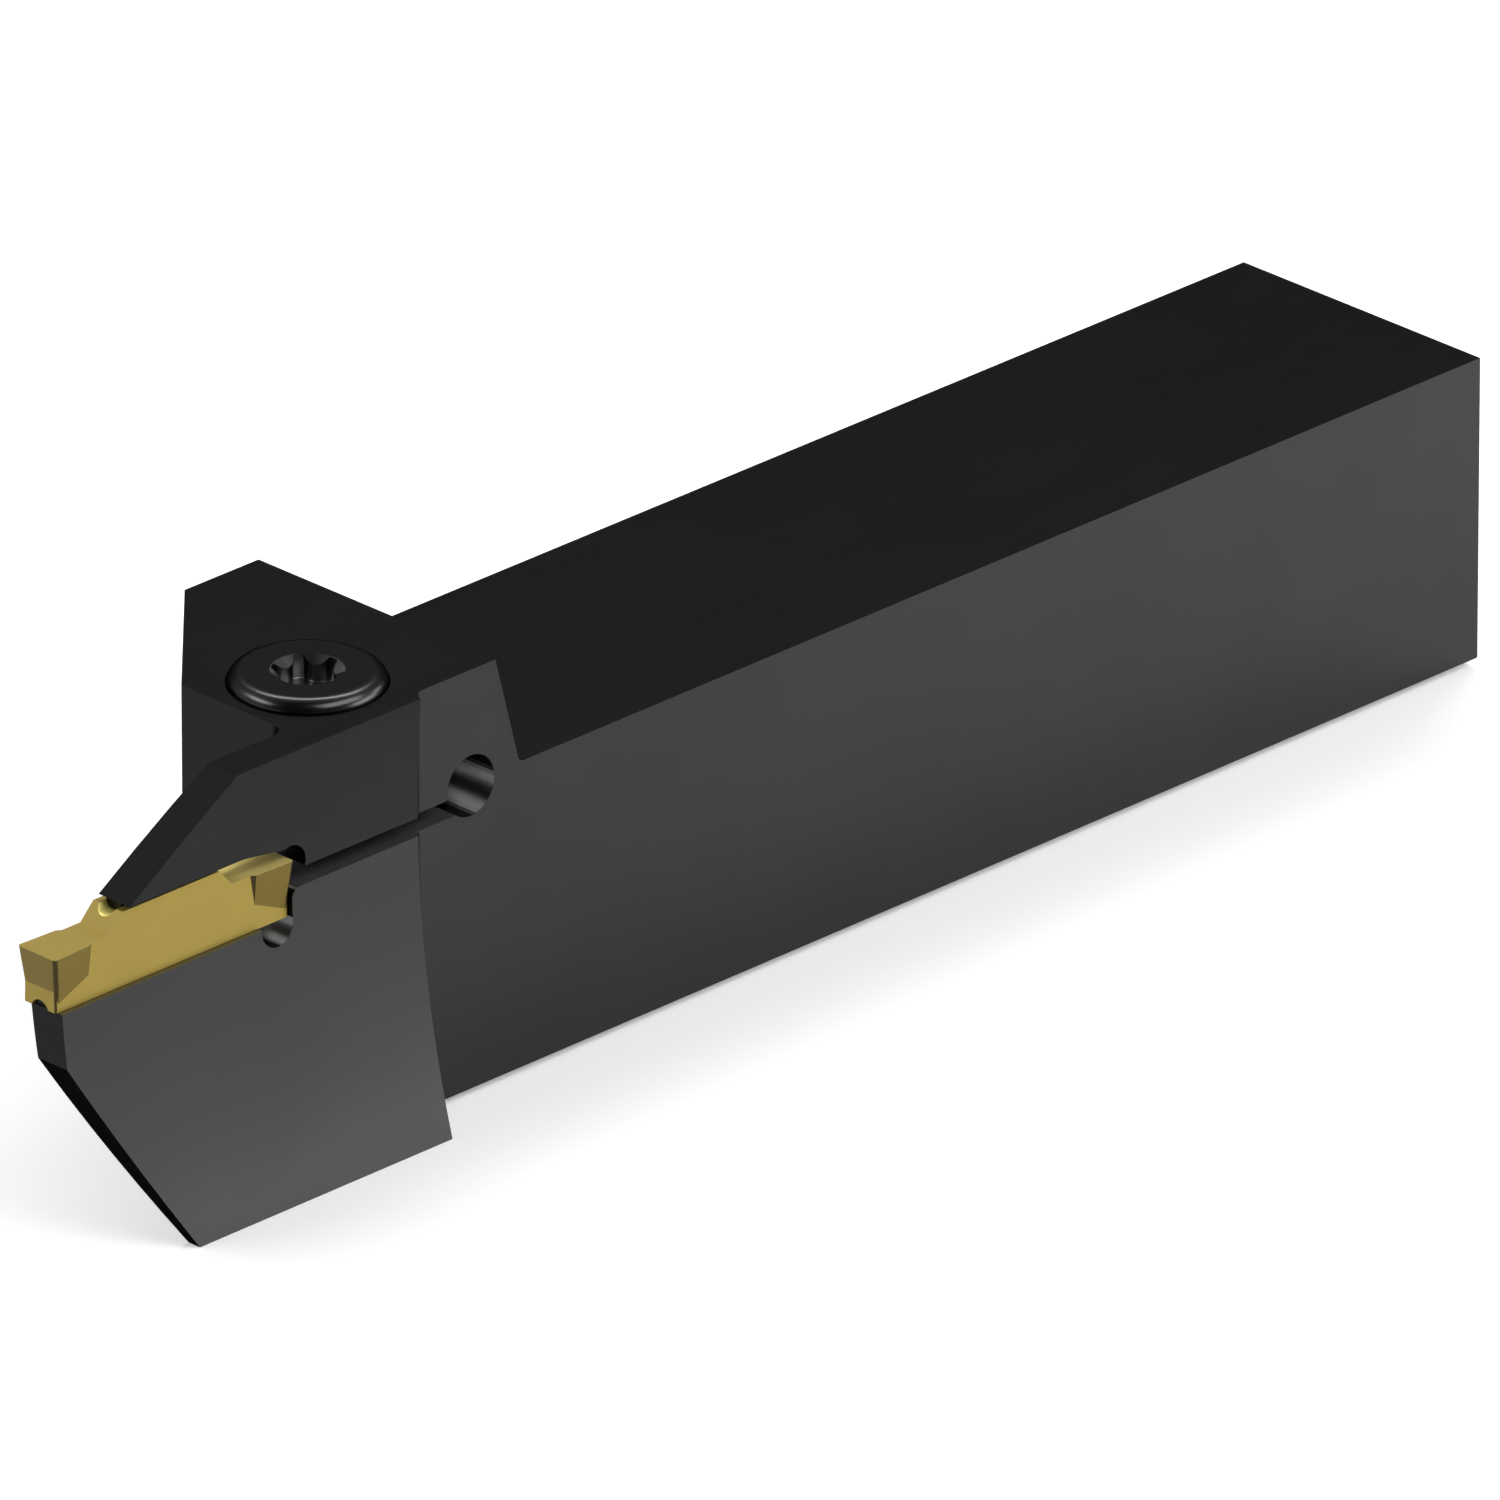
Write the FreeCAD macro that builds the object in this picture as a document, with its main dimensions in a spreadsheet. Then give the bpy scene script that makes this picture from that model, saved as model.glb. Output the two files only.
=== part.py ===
import FreeCAD, Part
import Sketcher
import math
import os
import re

# Right-hand parting and face grooving tool: square shank, curved blade and a clamped insert with
# a cutting head at each end.
# Frame: +X along the shank towards the cutting edge, +Y towards the side that carries the blade,
# +Z up. The origin is the centre of the shank's rear end face. Lengths are in millimetres and
# angles in degrees.

doc = FreeCAD.newDocument("parting_blade")
dims = doc.addObject("Spreadsheet::Sheet", "dims")

# Driving dimensions. "Edge" is the cutting edge, which lies level with the top of the shank.
sizes = {
    # shank and clamping head
    "shank_width": 25.0,
    "shank_height": 25.0,
    "shank_length": 102.26,      # rear end face to the foot of the head's sloping step
    "step_angle": 15.0,          # lean of the step from upright
    "step_fillet": 0.6,
    "head_length": 21.91,        # foot of the step to the head's front face
    "head_rise": 9.13,           # head above the shank's top
    "nose_cut": 11.82,           # leg of the 45 degree cut at the head's far front corner
    # curved blade on the head's near side
    "blade_reach": 26.28,        # head's front face to the edge
    "shoulder_setback": 10.77,   # head's front face to the shoulder where the blade stands out
    "blade_proud": 0.57,         # blade beyond the shank's side, at edge height
    "blade_thick": 3.31,         # at edge height
    "hollow_radius": 93.7,       # near, hollow side
    "round_radius": 61.0,        # far, rounded side
    "blade_drop": 0.7,           # blade below the shank's bottom
    "shoulder_cove": 0.9,
    "root_fillet": 1.5,          # far side of the blade to the head's front
    # upper jaw
    "jaw_top_setback": 18.25,    # edge to the front of the jaw's top, along the tool
    "jaw_nose_setback": 7.61,    # edge to the jaw's nose, along the tool
    "clamp_gap": 0.45,           # insert's ridges to the jaw's underside
    "heel_length": 4.2,          # sloping part of the jaw's underside, behind the ridges
    "rail_setback": 0.3,         # jaw's nose to the front end of its rail
    # lower jaw
    "lip_angle": 2.0,            # backward lean of the front face under the insert
    "lip_height": 4.4,           # seat to the foot of that face
    "lip_setback": 0.58,         # edge to the front face, along the tool
    "bevel_angle": 31.5,         # front bevel from upright
    "seat_gap": 0.03,            # insert to its seat and its stop
    "rail_gap": 0.1,             # rails to the grooves around them
    "stop_round": 0.8,
    "upper_relief": 1.55,        # radius of the relief in the corner of the jaw
    "upper_relief_shift": 0.1,   # its middle in front of the stop
    "upper_relief_depth": 0.2,   # its middle below the edge
    "heel_meet": 68.0,           # angle from level at which the sloping underside meets it
    "lower_relief": 1.6,         # radius of the relief in the corner of the seat
    "lower_relief_depth": 0.17,  # its middle below the seat
    # flexing slot and hinge hole
    "slot_width": 1.5,
    "slot_depth": 0.7,           # top of the slot below the edge
    "hinge_radius": 2.45,
    "hinge_setback": 5.05,       # foot of the step to the hinge hole
    "hinge_depth": 0.27,         # hinge hole's axis below the edge
    # insert
    "insert_length": 24.44,
    "insert_width": 4.0,
    "insert_depth": 4.46,        # edge to the insert's feet
    "waist_width": 3.1,          # insert between its cutting heads, at edge height
    "waist_draft": 1.6,          # slope of its sides, wider towards the feet
    "waist_round": 0.15,
    "nose_length": 3.75,         # length of a cutting head at its widest
    "nose_slope": 53.0,          # inner end of a cutting head, from across
    "rake_length": 5.98,         # edge to the foot of the ridges
    "ridge_rise": 1.4,           # ridges above the edge
    "ridge_slope": 47.0,         # front of the ridges from level
    "front_relief": 7.0,
    "flank_height": 2.8,
    "side_relief": 4.8,
    "back_taper": 2.7,
    "corner_radius": 0.3,
    "groove_radius": 0.9,
    "groove_depth": 0.6,
    # clamp screw and its hole
    "screw_setback": 7.05,       # head's front face to the screw
    "screw_inset": 7.1,          # shank's blade side to the screw
    "screw_radius": 3.0,
    "screw_point": 0.75,         # chamfer at the end of the screw
    "screw_length": 18.5,        # under the head
    "screw_head_radius": 6.0,
    "screw_head_height": 6.0,
    "screw_head_round": 1.0,
    "screw_proud": 1.0,          # head above the top of the clamping head
    "socket_radius": 2.74,
    "socket_depth": 1.95,
    "countersink_radius": 2.81,  # cone that opens the socket, at the head's top
    "countersink_depth": 0.68,
    "countersink_angle": 53.3,   # half of that cone's angle
    "lobe_gap_radius": 1.194,    # round ridge between two lobes of the socket
    "lobe_gap_ring": 3.219,      # screw's axis to the middle of that ridge
    "head_gap": 0.12,            # screw's head to the wall of its counterbore
    "shank_gap": 0.3,            # screw to its hole in the jaw
    "thread_gap": 0.05,          # screw to its threaded hole
    "tapped_depth": 13.0,        # threaded hole below the slot
    "drill_point": 59.0,         # half of the angle at the bottom of that hole
}
for row, (alias, value) in enumerate(sizes.items(), start=1):
    dims.set(f"A{row}", alias.replace("_", " "))
    dims.set(f"B{row}", str(value))
    dims.setAlias(f"B{row}", alias)
doc.recompute()

# Levels and places that several features share, as formulas of the driving dimensions.
head_front = "(shank_length + head_length)"
tool_reach = f"({head_front} + blade_reach)"
edge_level = "shank_height / 2"
top_level = f"({edge_level} + head_rise)"
blade_foot = "(-shank_height / 2 - blade_drop)"
near_face = "(shank_width / 2 + blade_proud)"
far_face = f"({near_face} - blade_thick)"
seat_level = f"({edge_level} - insert_depth - seat_gap)"
jaw_level = f"({edge_level} + ridge_rise + clamp_gap)"
slot_top = f"({edge_level} - slot_depth)"
slot_floor = f"({slot_top} - slot_width)"
insert_middle = f"({tool_reach} - insert_length / 2)"
insert_offset = f"({near_face} - insert_width / 2)"
flank_setback = "(flank_height * tan(front_relief))"
stop_reach = f"({tool_reach} - insert_length + {flank_setback} - seat_gap)"
screw_reach = f"({head_front} - screw_setback)"
screw_offset = "(shank_width / 2 - screw_inset)"
screw_seat = f"({top_level} + screw_proud - screw_head_height)"
OUTSIDE = 5.0   # how far a cutting outline runs past the solid
BURIED = 0.5    # how far an added form starts inside the solid
NEAR = 0.01     # how close an edge runs to a place it is picked by
ALIGNED = 0.9   # least cosine between an edge and the direction it is picked by


def linked(formula):
    """The formula with each size name written as a link to the sheet."""
    return re.sub(r"\b([a-z]+(?:_[a-z]+)+)\b", r"dims.\1", str(formula))


def number(formula):
    """The formula's present value."""
    return float(dims.evalExpression(re.sub(r"\bdims\.", "", linked(formula))))


def cylinder_side(face, radius, level):
    """Place across the tool, at a level, of a round wall that passes through face at edge height."""
    return f"({face} + {radius} - sqrt({radius} ^ 2 - ({level} - {edge_level}) ^ 2))"


def new_body(name):
    body = doc.addObject("PartDesign::Body", name)
    body.Label = name
    return body


def new_sketch(body, name, role, offset="0"):
    """A sketch on one of the body's origin planes, shifted along its normal."""
    sketch = body.newObject("Sketcher::SketchObject", name)
    plane = [part for part in body.Origin.OriginFeatures if part.Role == role][0]
    sketch.AttachmentSupport = (plane, [""])
    sketch.MapMode = "FlatFace"
    sketch.setExpression("AttachmentOffset.Base.z", linked(offset))
    return sketch


def fix_point(sketch, edge, end, place):
    """Tie a point of an edge to a pair of formulas."""
    for kind, formula in zip(("DistanceX", "DistanceY"), place):
        index = sketch.addConstraint(Sketcher.Constraint(kind, -1, 1, edge, end, number(formula)))
        sketch.setExpression(f"Constraints[{index}]", linked(formula))


def arc_between(start, stop, radius):
    """The short arc from start to stop; a positive radius turns anticlockwise."""
    chord = stop - start
    middle = (start + stop) / 2
    height = math.sqrt(radius ** 2 - (chord.Length / 2) ** 2)
    left = FreeCAD.Vector(-chord.y, chord.x, 0) / chord.Length
    centre = middle + left * math.copysign(height, radius)
    first, last = (start, stop) if radius > 0 else (stop, start)
    angles = [math.atan2(point.y - centre.y, point.x - centre.x) for point in (first, last)]
    circle = Part.Circle(centre, FreeCAD.Vector(0, 0, 1), abs(radius))
    return Part.ArcOfCircle(circle, angles[0], angles[1])


def outline(sketch, corners):
    """A closed outline. A corner is (x, y), or (x, y, radius, turn) where an arc leaves it.

    The turn is 1 for an anticlockwise arc and -1 for a clockwise one.
    """
    places = [FreeCAD.Vector(number(corner[0]), number(corner[1]), 0) for corner in corners]
    ends = []
    for index, corner in enumerate(corners):
        start = places[index]
        stop = places[(index + 1) % len(places)]
        if len(corner) == 2:
            edge = sketch.addGeometry(Part.LineSegment(start, stop), False)
            ends.append((edge, 1, 2))
        else:
            radius, turn = corner[2:]
            edge = sketch.addGeometry(arc_between(start, stop, turn * number(radius)), False)
            ends.append((edge, 1, 2) if turn > 0 else (edge, 2, 1))
            index = sketch.addConstraint(Sketcher.Constraint("Radius", edge, number(radius)))
            sketch.setExpression(f"Constraints[{index}]", linked(radius))
    for (edge, start, stop), (following, first, last) in zip(ends, ends[1:] + ends[:1]):
        sketch.addConstraint(Sketcher.Constraint("Coincident", edge, stop, following, first))
    for (edge, start, stop), corner in zip(ends, corners):
        fix_point(sketch, edge, start, corner[:2])


def disc(sketch, across, up, radius):
    """A circle about a pair of formulas."""
    centre = FreeCAD.Vector(number(across), number(up), 0)
    edge = sketch.addGeometry(Part.Circle(centre, FreeCAD.Vector(0, 0, 1), number(radius)), False)
    fix_point(sketch, edge, 3, (across, up))
    index = sketch.addConstraint(Sketcher.Constraint("Radius", edge, number(radius)))
    sketch.setExpression(f"Constraints[{index}]", linked(radius))


def extrude(body, kind, name, sketch, length=None, both_ways=False):
    """A Pad or Pocket of the sketch; a pocket without a length goes right through."""
    feature = body.newObject(f"PartDesign::{kind}", name)
    feature.Profile = sketch
    feature.Midplane = both_ways
    if length is None:
        feature.Type = "ThroughAll"
    else:
        feature.setExpression("Length", linked(length))
    doc.recompute()
    return feature


# Holder: one piece of hardened steel, milled all over, with the flexing slot cut by wire.
holder = new_body("holder")

step_lean = "tan(step_angle)"
fillet_reach = "(step_fillet * tan((90 - step_angle) / 2))"
side_view = new_sketch(holder, "side_view", "XZ_Plane")
outline(side_view, [
    ("0", "-shank_height / 2"),
    (head_front, "-shank_height / 2"),
    (head_front, top_level),
    (f"shank_length + head_rise * {step_lean}", top_level),
    (f"shank_length + {fillet_reach} * sin(step_angle)",
     f"{edge_level} + {fillet_reach} * cos(step_angle)", "step_fillet", -1),
    (f"shank_length - {fillet_reach}", edge_level),
    ("0", edge_level),
])
extrude(holder, "Pad", "shank_and_head", side_view, "shank_width", both_ways=True)

nose_plan = new_sketch(holder, "nose_plan", "XY_Plane")
outline(nose_plan, [
    (f"{head_front} - nose_cut", "-shank_width / 2"),
    (f"{head_front} - nose_cut", f"-shank_width / 2 - {OUTSIDE}"),
    (f"{head_front} + {OUTSIDE}", f"-shank_width / 2 - {OUTSIDE}"),
    (f"{head_front} + {OUTSIDE}", f"-shank_width / 2 + nose_cut + {OUTSIDE}"),
])
extrude(holder, "Pocket", "nose_cut", nose_plan, both_ways=True)

near_top = cylinder_side(near_face, "hollow_radius", top_level)
near_foot = cylinder_side(near_face, "hollow_radius", blade_foot)
far_top = cylinder_side(far_face, "round_radius", top_level)
far_foot = cylinder_side(far_face, "round_radius", blade_foot)

shoulder = f"({head_front} - shoulder_setback)"
cove_start = f"({shoulder} - shoulder_cove)"
ear_section = new_sketch(holder, "ear_section", "YZ_Plane", cove_start)
outline(ear_section, [
    (near_top, top_level, "hollow_radius", 1),
    (near_foot, blade_foot),
    ("shank_width / 2", blade_foot),
    ("shank_width / 2", f"-shank_height / 2 + {BURIED}"),
    (f"shank_width / 2 - {BURIED}", f"-shank_height / 2 + {BURIED}"),
    (f"shank_width / 2 - {BURIED}", top_level),
])
extrude(holder, "Pad", "ear", ear_section, "shoulder_setback + shoulder_cove")

blade_section = new_sketch(holder, "blade_section", "YZ_Plane", f"{head_front} - {BURIED}")
outline(blade_section, [
    (near_top, top_level, "hollow_radius", 1),
    (near_foot, blade_foot),
    (far_foot, blade_foot, "round_radius", -1),
    (far_top, top_level),
])
extrude(holder, "Pad", "blade", blade_section, f"blade_reach + {BURIED}")

cove_plan = new_sketch(holder, "cove_plan", "XY_Plane")
outline(cove_plan, [
    (f"{cove_start} - {OUTSIDE}", "shank_width / 2"),
    (cove_start, "shank_width / 2", "shoulder_cove", 1),
    (shoulder, "shank_width / 2 + shoulder_cove"),
    (shoulder, f"{near_foot} + {OUTSIDE}"),
    (f"{cove_start} - {OUTSIDE}", f"{near_foot} + {OUTSIDE}"),
])
extrude(holder, "Pocket", "shoulder_cove", cove_plan, both_ways=True)


def edges_along(shape, place, direction):
    """Names of the edges that pass through a place and run in a direction there."""
    names = []
    for index, edge in enumerate(shape.Edges, start=1):
        distance, points, info = edge.distToShape(Part.Vertex(place))
        if distance > NEAR:
            continue
        tangent = edge.tangentAt(edge.Curve.parameter(points[0][0]))
        if abs(tangent.dot(direction)) > ALIGNED:
            names.append(f"Edge{index}")
    return names


root_edge = FreeCAD.Vector(number(head_front), number(far_face), number(edge_level))
unrounded = holder.Tip
root = holder.newObject("PartDesign::Fillet", "root_fillet")
root.Base = (unrounded, edges_along(unrounded.Shape, root_edge, FreeCAD.Vector(0, 0, 1)))
root.setExpression("Radius", linked("root_fillet"))
doc.recompute()

# The mouth that takes the insert, the slot behind it and the space in front of the jaw.
relief_reach = f"({stop_reach} + upper_relief_shift)"
relief_level = f"({edge_level} - upper_relief_depth)"
heel_back = f"({relief_reach} + upper_relief * cos(heel_meet))"
heel_front = f"({heel_back} + heel_length)"
heel_level = f"({relief_level} + upper_relief * sin(heel_meet))"
lip_top = f"({tool_reach} - lip_setback)"
lip_foot = f"({lip_top} - lip_height * tan(lip_angle))"
bevel_top = f"({seat_level} - lip_height)"
bevel_foot = f"({lip_foot} - ({bevel_top} - {blade_foot}) * tan(bevel_angle))"
pocket_floor = f"({seat_level} - lower_relief_depth)"
jaw_top = f"({tool_reach} - jaw_top_setback)"
jaw_nose = f"({tool_reach} - jaw_nose_setback)"
hinge_reach = "(shank_length + hinge_setback)"
mouth = new_sketch(holder, "mouth", "XZ_Plane")
outline(mouth, [
    (jaw_top, top_level),
    (jaw_nose, jaw_level),
    (heel_front, jaw_level),
    (heel_back, heel_level, "upper_relief", 1),
    (f"{relief_reach} - sqrt(upper_relief ^ 2 - ({relief_level} - {slot_top}) ^ 2)", slot_top),
    (hinge_reach, slot_top),
    (hinge_reach, slot_floor),
    (f"{stop_reach} - stop_round", slot_floor, "stop_round", -1),
    (stop_reach, f"{slot_floor} - stop_round"),
    (stop_reach, pocket_floor, "lower_relief", 1),
    (f"{stop_reach} + lower_relief", f"{pocket_floor} - lower_relief", "lower_relief", 1),
    (f"{stop_reach} + lower_relief + sqrt(lower_relief ^ 2 - ({seat_level} - {pocket_floor}) ^ 2)",
     seat_level),
    (f"{tool_reach} + {OUTSIDE}", seat_level),
    (f"{tool_reach} + {OUTSIDE}", f"{top_level} + {OUTSIDE}"),
    (jaw_top, f"{top_level} + {OUTSIDE}"),
])
extrude(holder, "Pocket", "mouth_and_slot", mouth, both_ways=True)

prow = new_sketch(holder, "prow", "XZ_Plane")
outline(prow, [
    (lip_top, seat_level),
    (lip_foot, bevel_top),
    (bevel_foot, blade_foot),
    (bevel_foot, f"{blade_foot} - {OUTSIDE}"),
    (f"{tool_reach} + {OUTSIDE}", f"{blade_foot} - {OUTSIDE}"),
    (f"{tool_reach} + {OUTSIDE}", f"{seat_level} + {BURIED}"),
    (lip_top, f"{seat_level} + {BURIED}"),
])
extrude(holder, "Pocket", "front_and_bevel", prow, both_ways=True)

hinge = new_sketch(holder, "hinge", "XZ_Plane")
disc(hinge, hinge_reach, f"{edge_level} - hinge_depth", "hinge_radius")
extrude(holder, "Pocket", "hinge_hole", hinge, both_ways=True)

# Round rails that the grooves of the insert fit over.
rail_radius = "(groove_radius - rail_gap)"
lower_rail_level = f"({edge_level} - insert_depth + groove_depth - groove_radius)"
upper_rail_level = f"({edge_level} + ridge_rise - groove_depth + groove_radius)"
lower_rail = new_sketch(holder, "lower_rail", "YZ_Plane", f"{stop_reach} + 2 * lower_relief - {BURIED} / 2")
disc(lower_rail, insert_offset, lower_rail_level, rail_radius)
extrude(holder, "Pad", "seat_rail", lower_rail,
        f"{lip_foot} - {stop_reach} - 2 * lower_relief + {BURIED} / 2")

upper_rail = new_sketch(holder, "upper_rail", "YZ_Plane", heel_front)
outline(upper_rail, [
    (f"{insert_offset} - {rail_radius}", upper_rail_level, rail_radius, 1),
    (insert_offset, f"{upper_rail_level} - {rail_radius}", rail_radius, 1),
    (f"{insert_offset} + {rail_radius}", upper_rail_level),
    (f"{insert_offset} + {rail_radius}", f"{jaw_level} + seat_gap"),
    (f"{insert_offset} - {rail_radius}", f"{jaw_level} + seat_gap"),
])
extrude(holder, "Pad", "jaw_rail", upper_rail, f"{jaw_nose} - rail_setback - {heel_front}")

counterbore = new_sketch(holder, "counterbore_plan", "XY_Plane", top_level)
disc(counterbore, screw_reach, screw_offset, "screw_head_radius + head_gap")
extrude(holder, "Pocket", "counterbore", counterbore, f"{top_level} - {screw_seat}")
clearance = new_sketch(holder, "clearance_plan", "XY_Plane", screw_seat)
disc(clearance, screw_reach, screw_offset, "screw_radius + shank_gap")
extrude(holder, "Pocket", "clearance_hole", clearance, f"{screw_seat} - {slot_top}")

tapped_radius = "(screw_radius + thread_gap)"
tapped = new_sketch(holder, "tapped_section", "XZ_Plane", f"-{screw_offset}")
outline(tapped, [
    (screw_reach, f"{slot_floor} + {BURIED}"),
    (f"{screw_reach} + {tapped_radius}", f"{slot_floor} + {BURIED}"),
    (f"{screw_reach} + {tapped_radius}", f"{slot_floor} - tapped_depth"),
    (screw_reach, f"{slot_floor} - tapped_depth - {tapped_radius} / tan(drill_point)"),
])
axis = holder.newObject("PartDesign::Line", "screw_axis")
axis.setExpression("Placement.Base.x", linked(screw_reach))
axis.setExpression("Placement.Base.y", linked(screw_offset))
drilled = holder.newObject("PartDesign::Groove", "tapped_hole")
drilled.Profile = tapped
drilled.ReferenceAxis = (axis, [""])
drilled.Angle = 360.0
doc.recompute()

# Insert: pressed and sintered carbide, the same at both ends, ground on its cutting heads.
insert = new_body("insert")
insert.setExpression("Placement.Base.x", linked(insert_middle))
insert.setExpression("Placement.Base.y", linked(insert_offset))
insert.setExpression("Placement.Base.z", linked(edge_level))

waist_end = f"(insert_length / 2 - {flank_setback})"


def waist_section(name, level):
    """Plan of the insert between its heads at a level, with rounded corners."""
    half = f"(waist_width / 2 - ({level}) * tan(waist_draft))"
    section = new_sketch(insert, name, "XY_Plane", level)
    outline(section, [
        (f"-{waist_end} + waist_round", f"-{half}"),
        (f"{waist_end} - waist_round", f"-{half}", "waist_round", 1),
        (waist_end, f"-{half} + waist_round"),
        (waist_end, f"{half} - waist_round", "waist_round", 1),
        (f"{waist_end} - waist_round", half),
        (f"-{waist_end} + waist_round", half, "waist_round", 1),
        (f"-{waist_end}", f"{half} - waist_round"),
        (f"-{waist_end}", f"-{half} + waist_round", "waist_round", 1),
    ])
    return section


waist = insert.newObject("PartDesign::AdditiveLoft", "waist")
waist.Profile = waist_section("waist_foot", "-insert_depth")
waist.Sections = [waist_section("waist_top", "ridge_rise")]
waist.Ruled = True
insert.Tip = waist
doc.recompute()

ridge_foot = "(insert_length / 2 - rake_length)"
rake = new_sketch(insert, "rake_profile", "XZ_Plane")
slope_run = f"({OUTSIDE} / tan(ridge_slope))"
for end in ("", "-"):
    outline(rake, [
        (f"{end}{ridge_foot}", "0"),
        (f"{end}(insert_length / 2)", "0"),
        (f"{end}(insert_length / 2)", OUTSIDE),
        (f"{end}({ridge_foot} - {slope_run})", OUTSIDE),
    ])
extrude(insert, "Pocket", "rake", rake, both_ways=True)


def head_section(name, depth, front):
    """Plan of a cutting head at a depth below the edge, with its two rounded corners."""
    corner_reach = "(corner_radius * tan((90 - back_taper) / 2))"
    relief = f"({depth} * tan(side_relief))"
    half = f"(insert_width / 2 - (insert_length / 2 - {front}) * tan(back_taper) - {relief})"
    back = "(insert_length / 2 - nose_length)"
    back_half = f"(insert_width / 2 - nose_length * tan(back_taper) - {relief})"
    core_half = "(waist_width / 2 - waist_round)"
    core = f"({back} - ({back_half} - {core_half}) * tan(nose_slope))"
    side_x = f"{front} - {corner_reach} * cos(back_taper)"
    side_y = f"({half} - {corner_reach} * sin(back_taper))"
    section = new_sketch(insert, name, "XY_Plane", f"-{depth}")
    outline(section, [
        (core, f"-{core_half}"),
        (back, f"-{back_half}"),
        (side_x, f"-{side_y}", "corner_radius", 1),
        (front, f"-({half} - {corner_reach})"),
        (front, f"{half} - {corner_reach}", "corner_radius", 1),
        (side_x, side_y),
        (back, back_half),
        (core, core_half),
    ])
    return section


def cutting_head(name, upper, lower):
    """The solid between two plans of a cutting head, and its twin at the insert's other end."""
    loft = insert.newObject("PartDesign::AdditiveLoft", name)
    loft.Profile = upper
    loft.Sections = [lower]
    loft.Ruled = True
    doc.recompute()
    twin = insert.newObject("PartDesign::Mirrored", f"{name}_twin")
    twin.Originals = [loft]
    mirror_plane = [part for part in insert.Origin.OriginFeatures if part.Role == "YZ_Plane"][0]
    twin.MirrorPlane = (mirror_plane, [""])
    insert.Tip = twin
    doc.recompute()


tip_front = "(insert_length / 2)"
edge_plan = head_section("edge_plan", "0", tip_front)
flank_plan = head_section("flank_plan", "flank_height", f"({tip_front} - {flank_setback})")
cutting_head("cutting_head", edge_plan, flank_plan)
heel_plan = head_section("heel_top_plan", "flank_height", f"({tip_front} - {flank_setback})")
foot_plan = head_section("heel_foot_plan", "(insert_depth - groove_depth / 2)",
                         f"({tip_front} - {flank_setback})")
cutting_head("cutting_heel", heel_plan, foot_plan)

for name, level in (("upper_groove", "ridge_rise - groove_depth + groove_radius"),
                    ("lower_groove", "-insert_depth + groove_depth - groove_radius")):
    groove = new_sketch(insert, f"{name}_section", "YZ_Plane")
    disc(groove, "0", level, "groove_radius")
    extrude(insert, "Pocket", name, groove, both_ways=True)

# Clamp screw: turned and threaded steel with a six-lobed socket.
screw = new_body("clamp_screw")
screw.setExpression("Placement.Base.x", linked(screw_reach))
screw.setExpression("Placement.Base.y", linked(screw_offset))
screw.setExpression("Placement.Base.z", linked(screw_seat))

turned = new_sketch(screw, "turned_profile", "XZ_Plane")
outline(turned, [
    ("0", "-screw_length"),
    ("screw_radius - screw_point", "-screw_length"),
    ("screw_radius", "-screw_length + screw_point"),
    ("screw_radius", "0"),
    ("screw_head_radius", "0"),
    ("screw_head_radius", "screw_head_height - screw_head_round", "screw_head_round", 1),
    ("screw_head_radius - screw_head_round", "screw_head_height"),
    ("0", "screw_head_height"),
])
blank = screw.newObject("PartDesign::Revolution", "turned_blank")
blank.Profile = turned
blank.ReferenceAxis = (turned, ["V_Axis"])
blank.Angle = 360.0
doc.recompute()

socket = new_sketch(screw, "socket_plan", "XY_Plane", "screw_head_height")
disc(socket, "0", "0", "socket_radius")
extrude(screw, "Pocket", "socket", socket, "socket_depth")
lobe_gap = new_sketch(screw, "lobe_gap_plan", "XY_Plane", "screw_head_height - socket_depth")
disc(lobe_gap, "0", "lobe_gap_ring", "lobe_gap_radius")
ridge = extrude(screw, "Pad", "lobe_gap", lobe_gap, "socket_depth")
lobes = screw.newObject("PartDesign::PolarPattern", "lobes")
lobes.Originals = [ridge]
lobes.Axis = ([part for part in screw.Origin.OriginFeatures if part.Role == "Z_Axis"][0], [""])
lobes.Angle = 360.0
lobes.Occurrences = 6
screw.Tip = lobes
doc.recompute()

cone = new_sketch(screw, "countersink_profile", "XZ_Plane")
outline(cone, [
    ("0", "screw_head_height - countersink_depth"),
    ("countersink_radius - countersink_depth * tan(countersink_angle)",
     "screw_head_height - countersink_depth"),
    ("countersink_radius", "screw_head_height"),
    ("0", "screw_head_height"),
])
countersink = screw.newObject("PartDesign::Groove", "countersink")
countersink.Profile = cone
countersink.ReferenceAxis = (cone, ["V_Axis"])
countersink.Angle = 360.0
doc.recompute()

# Nothing is written unless every object is sound.
for item in doc.Objects:
    faults = [state for state in item.State if state in ("Invalid", "Error")]
    if faults:
        raise RuntimeError(f"{item.Label}: {faults}")
bodies = [holder, insert, screw]
for body in bodies:
    if body.Shape.isNull() or not body.Shape.isValid() or len(body.Shape.Solids) != 1:
        raise RuntimeError(f"{body.Label} isn't one sound solid")

os.makedirs("parts", exist_ok=True)
for body in bodies:
    body.Shape.exportStep(f"parts/{body.Label}.step")
    box = body.Shape.optimalBoundingBox(True, False)
    ranges = ((box.XMin, box.XMax), (box.YMin, box.YMax), (box.ZMin, box.ZMax))
    spans = ", ".join(f"{low:.2f} to {high:.2f}" for low, high in ranges)
    print(f"{body.Label}: {body.Shape.Volume:.1f} mm3, {len(body.Shape.Faces)} faces, {spans}")
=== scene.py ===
import bpy
from mathutils import Matrix, Vector


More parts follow.
